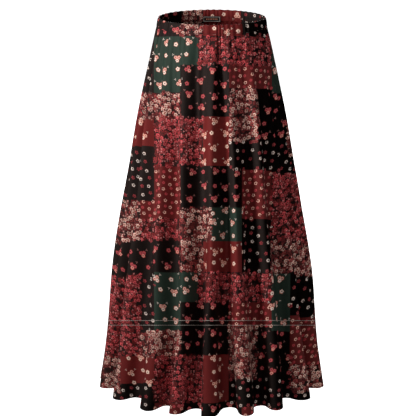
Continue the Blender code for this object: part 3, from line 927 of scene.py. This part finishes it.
def crowded_flowers(tree, chart, places, cloth, layer):
    """Prints one of CROWDED_LAYERS over the cloth so far."""
    away, fabric, chance = packed(tree, chart, places, layer["cell"], layer["shift"])
    some, tone, _ = add(tree, "SeparateXYZ", chance)
    if "clumps" in layer:
        strength = clumps(tree, places, away, *layer["clumps"])
    else:
        strength = add(tree, "MapRange", some, *layer["strength"])
    light = add(tree, "MapRange", tone, 0.0, 1.0, *layer["light"]) if "light" in layer else None
    flower = blossom(tree, away, layer["radius"], chance, layer["petals"], layer["lobe"])
    return lay_over(tree, cloth, flower, fabric, layer["colours"], layer["tones"], strength, light)


def bunched_flowers(tree, chart, places, cloth):
    """Prints single flowers and bunches of three in turn, one of each bunch paler, and sprigs over the
    bunches."""
    away, fabric, odd, chance = scattered(tree, chart, places, BUNCH_CELL, BUNCH_JITTER, BUNCH_SHIFT)
    radius = add(tree, "MapRange", odd, 0.0, 1.0, *BUNCH_RADII)
    _, _, turn = add(tree, "SeparateXYZ", chance)
    turn = add(tree, "MapRange", turn, 0.0, 1.0, -BUNCH_TURN, BUNCH_TURN)
    near, lowest = threes(tree, away, odd, BUNCH_SPREAD, turn)
    flower = blossom(tree, near, radius, chance)
    cloth = lay_over(tree, cloth, flower, fabric, BUNCH_COLOURS, BUNCH_TONES)
    single = add(tree, "Math", 1.0, odd, operation="SUBTRACT")
    pale = add(tree, "Math", lowest, single, operation="MAXIMUM")
    cloth = lay_over(tree, cloth, flower, fabric, PALE_COLOURS, BUNCH_TONES, pale)
    blotched = add(tree, "Math", lowest, odd, operation="MULTIPLY")
    cloth = lay_over(tree, cloth, flower, fabric, BLOTCH_COLOURS, BUNCH_TONES, blotched)
    x, y, _ = add(tree, "SeparateXYZ", away)
    x = add(tree, "Math", add(tree, "Math", x, operation="ABSOLUTE"), SPRIG_ASIDE, operation="SUBTRACT")
    y = add(tree, "Math", y, SPRIG_ABOVE, operation="ADD")
    sprig = blossom(tree, add(tree, "CombineXYZ", x, y, 0.0), SPRIG_RADIUS, chance, petals=3, lobe=0.45)
    return lay_over(tree, cloth, sprig, fabric, SPRIG_COLOURS, SPRIG_TONES, odd)


def small_flowers(tree, chart, places, cloth, kinds):
    """Prints one of SMALL_FLOWERS over the cloth so far."""
    away, fabric, odd, chance = scattered(tree, chart, places, kinds["cell"], kinds["jitter"], kinds["shift"])
    even = add(tree, "Math", 1.0, odd, operation="SUBTRACT")
    flower = blossom(tree, away, kinds["radius"], chance)
    cloth = lay_over(tree, cloth, flower, fabric, kinds["even"], kinds["even_tones"], even)
    return lay_over(tree, cloth, flower, fabric, kinds["odd"], kinds["odd_tones"], odd)


CRINKLE_SCALE = 400.0  # for each metre: 2.5 mm, though the real crinkle is finer
CRINKLE_DEPTH, CRINKLE_STRENGTH = 0.0012, 0.60


def printed_crepe(name, chart):
    """Viscose crepe, roller printed: a matte, faintly furry cloth whose fine crinkle, from twisted yarns,
    breaks up the light. Its dark grounds show a grey bloom on the crests and go black in the valleys."""
    look, tree = new_look(name)
    places = (add(tree, "UVMap", uv_map="patches"), add(tree, "UVMap", uv_map="flowers"))
    cloth, _ = fabric_colours(tree, add(tree, "Group", places[0], node_tree=chart), GROUNDS)
    for layer in CROWDED_LAYERS:
        cloth = crowded_flowers(tree, chart, places, cloth, layer)
    cloth = bunched_flowers(tree, chart, places, cloth)
    for kinds in SMALL_FLOWERS:
        cloth = small_flowers(tree, chart, places, cloth, kinds)
    crinkle = add(tree, "TexNoise", places[1], CRINKLE_SCALE, 3.0, 0.6, noise_dimensions="2D")[0]
    normal = add(tree, "Bump", {"Strength": CRINKLE_STRENGTH, "Distance": CRINKLE_DEPTH, "Height": crinkle})
    shader = add(tree, "BsdfPrincipled", {
        "Base Color": cloth, "Roughness": 0.80, "IOR": 1.5, "Specular IOR Level": 0.62,
        "Specular Tint": linear("#ffdcd2"), "Normal": normal,
    })
    add(tree, "OutputMaterial", shader)
    return look


# The label's weave, in millimetres: the border's middle from the edge and half its width; the diamonds'
# pitch, half width and how far their row reaches from the middle; and the ribs' pitch, coarser than real.
BORDER_INSET, BORDER_HALF = 1.9, 0.55
DIAMOND_PITCH, DIAMOND_HALF, DIAMOND_ROW = 4.2, 1.7, 14.7
SATIN_RIB = 0.45


def label_satin(name):
    """Woven polyester satin, black, with a pale border and a row of small diamonds in dusty orange: smooth
    and softly shiny, with fine ribs across."""
    look, tree = new_look(name)
    place = add(tree, "UVMap", uv_map="label")
    x, y, _ = add(tree, "SeparateXYZ", add(tree, "VectorMath", place, MILLIMETRES, operation="MULTIPLY"))
    half_width, half_length = LABEL_WIDTH * 500, LABEL_LENGTH * 500
    aside = add(tree, "Math", x, operation="ABSOLUTE")
    up = add(tree, "Math", add(tree, "Math", y, half_length, operation="SUBTRACT"), operation="ABSOLUTE")
    from_side = add(tree, "Math", half_width, aside, operation="SUBTRACT")
    from_end = add(tree, "Math", half_length, up, operation="SUBTRACT")
    edge = add(tree, "Math", from_side, from_end, operation="MINIMUM")
    border = add(tree, "Math", edge, BORDER_INSET, BORDER_HALF, operation="COMPARE")
    along = add(tree, "Math", x, DIAMOND_PITCH / 2, operation="ADD")
    along = add(tree, "Math", along, DIAMOND_PITCH, operation="FLOORED_MODULO")
    along = add(tree, "Math", along, DIAMOND_PITCH / 2, operation="SUBTRACT")
    reach = add(tree, "Math", add(tree, "Math", along, operation="ABSOLUTE"), up, operation="ADD")
    diamond = add(tree, "Math", reach, DIAMOND_HALF, operation="LESS_THAN")
    within = add(tree, "Math", aside, DIAMOND_ROW, operation="LESS_THAN")
    diamond = add(tree, "Math", diamond, within, operation="MULTIPLY")
    shade = add(tree, "Mix", border, linear("#0b0a0a"), linear("#b9aca4"), data_type="RGBA")
    shade = add(tree, "Mix", diamond, shade, linear("#dd8f76"), data_type="RGBA")
    ribs = add(tree, "Math", y, 2 * np.pi / SATIN_RIB, operation="MULTIPLY")
    ribs = add(tree, "Math", ribs, operation="SINE")
    normal = add(tree, "Bump", {"Strength": 0.3, "Distance": 0.0001, "Height": ribs})
    shine = {"Base Color": shade, "Roughness": 0.38, "IOR": 1.5, "Normal": normal}
    add(tree, "OutputMaterial", add(tree, "BsdfPrincipled", shine))
    return look


TWIST_SCALE = 1800.0  # of the thread's unevenness, for each metre


def sewing_thread(name, colour):
    """Spun polyester thread: matte, with a fine twist that shows as a slight unevenness."""
    look, tree = new_look(name)
    place = add(tree, "TexCoord")[3]  # in the object's own metres
    twist = add(tree, "TexNoise", place, TWIST_SCALE, 2.0, 0.5)[0]
    full = linear(colour)
    darker = (*(0.8 * np.array(full[:3])), 1.0)
    shade, _ = stepped(tree, twist, [(0.3, darker), (0.7, full)], "LINEAR")
    add(tree, "OutputMaterial", add(tree, "BsdfPrincipled", {"Base Color": shade, "Roughness": 0.7}))
    return look


# ---- The skirt ----

chart = patch_chart()
crepe = printed_crepe("printed_crepe", chart)
pale_thread = sewing_thread("pale_thread", "#b5aaa1")
dark_thread = sewing_thread("dark_thread", "#151113")
satin = label_satin("label_satin_weave")

front_folds, back_folds = len(FRONT_FOLDS), len(BACK_FOLDS)
front = panel("front_cloth", 0, front_folds, crepe, False)
back = panel("back_cloth", front_folds, back_folds, crepe, True)
casing = elastic_casing(crepe)
label = woven_label(satin)
for cloth_piece, node, slot in (
    (front, "front_panel", "printed_cloth"),
    (back, "back_panel", "printed_cloth"),
    (casing, "waistband", "band_cloth"),
    (label, "label", "label_satin"),
):
    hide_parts(node)

sewn_on = {"front": [], "back": []}
for side, first, folds in (("front", 0, front_folds), ("back", front_folds, back_folds)):
    phase = np.linspace(first - 0.49, first + folds - 0.51, folds * 220)
    for number, row in enumerate(TOPSTITCH_ROWS):
        drop = topstitch_drop(phase, row)
        name = f"{side}_topstitch_{number}"
        sewn_on[side].append(skirt_stitches(name, phase, drop, TOPSTITCH, pale_thread, STITCH_LIFT))
    name = f"{side}_hem_stitches"
    drop = np.full(phase.shape, SKIRT_DROP - HEM_STITCH_RISE)
    sewn_on[side].append(skirt_stitches(name, phase, drop, HEM_STITCH, dark_thread, -STITCH_LIFT))

for side, seam, towards in (("left", front_folds - 0.5, 1), ("right", -0.5, -1)):
    sewn_on["back"].append(seam_allowance(f"{side}_seam_allowance", seam, towards, crepe))
casing_rows = [
    casing_stitches("casing_stitches_outside", 0.0, 1, dark_thread),
    casing_stitches("casing_stitches_inside", -CASING_WALL, -1, dark_thread),
]

# ---- Camera, floor and light ----

CAMERA_PLACE = (-0.0092, -5.0, 1.019)
CAMERA_PITCH = 16.57  # degrees below level
CAMERA_LENS = 182.5  # millimetres
FLOOR_Z, FLOOR_RADIUS, FLOOR_SIDES = -1.30, 40.0, 96

camera = bpy.data.objects.new("camera", bpy.data.cameras.new("camera"))
camera.data.lens = CAMERA_LENS
camera.location = CAMERA_PLACE
camera.rotation_euler = (np.radians(90 - CAMERA_PITCH), 0.0, 0.0)
bpy.context.scene.collection.objects.link(camera)
bpy.context.scene.camera = camera


def white_floor():
    """A pale round floor that glows faintly, so it stays even and white under the skirt."""
    look = bpy.data.materials.new("white_floor_paint")
    look.use_nodes = True
    shader = look.node_tree.nodes["Principled BSDF"]
    shader.inputs["Base Color"].default_value = linear("#f4f4f4")
    shader.inputs["Roughness"].default_value = 0.9
    shader.inputs["Emission Color"].default_value = linear("#ffffff")
    shader.inputs["Emission Strength"].default_value = 0.75
    turn = 2 * np.pi * np.arange(FLOOR_SIDES) / FLOOR_SIDES
    rim = np.stack([FLOOR_RADIUS * np.cos(turn), FLOOR_RADIUS * np.sin(turn), turn * 0 + FLOOR_Z], axis=-1)
    mesh = bpy.data.meshes.new("floor")
    mesh.from_pydata(rim.tolist(), [], [list(range(FLOOR_SIDES))])
    mesh.materials.append(look)
    made = bpy.data.objects.new("floor", mesh)
    made.visible_diffuse = False
    made.visible_glossy = False
    bpy.context.scene.collection.objects.link(made)


def lamp(name, kind, place, aim, power, **settings):
    """Sets up a lamp at its place, turned towards a point: a soft box (AREA) or a spot (SPOT)."""
    light = bpy.data.lights.new(name, kind)
    light.energy = power
    for setting, value in settings.items():
        setattr(light, setting, value)
    made = bpy.data.objects.new(name, light)
    made.location = place
    towards = np.array(aim) - np.array(place)
    rise = np.arctan2(towards[2], np.hypot(towards[0], towards[1]))
    made.rotation_euler = (np.pi / 2 + rise, 0.0, np.arctan2(-towards[0], towards[1]))
    bpy.context.scene.collection.objects.link(made)


def studio_world():
    """Even light from all round, seen as white by the camera."""
    world = bpy.data.worlds.new("studio")
    world.use_nodes = True
    world.cycles_visibility.glossy = False
    tree = world.node_tree
    tree.nodes.clear()
    seen = add(tree, "LightPath")[0]
    strength = add(tree, "MapRange", seen, 0.0, 1.0, 0.50, 1.0)
    shader = add(tree, "Background", linear("#ffffff"), strength)
    output = tree.nodes.new("ShaderNodeOutputWorld")
    tree.links.new(shader, output.inputs[0])
    bpy.context.scene.world = world


white_floor()
studio_world()
# The key is a spot whose light fades smoothly from the middle of its cone out, so that the hem is darker. The
# back light stands straight behind, so that it draws no pale rim on crests that face the front.
key_cone = {"shadow_soft_size": 0.60, "spot_size": np.radians(34.0), "spot_blend": 1.0}
lamp("key", "SPOT", (-3.48, -2.33, 0.6), (0.0, 0.0, 0.1), 700.0, **key_cone)
lamp("back", "AREA", (0.5, 4.3, 0.8), (0.0, 0.0, -0.45), 150.0, size=0.8)
bpy.context.scene.view_settings.view_transform = "Standard"
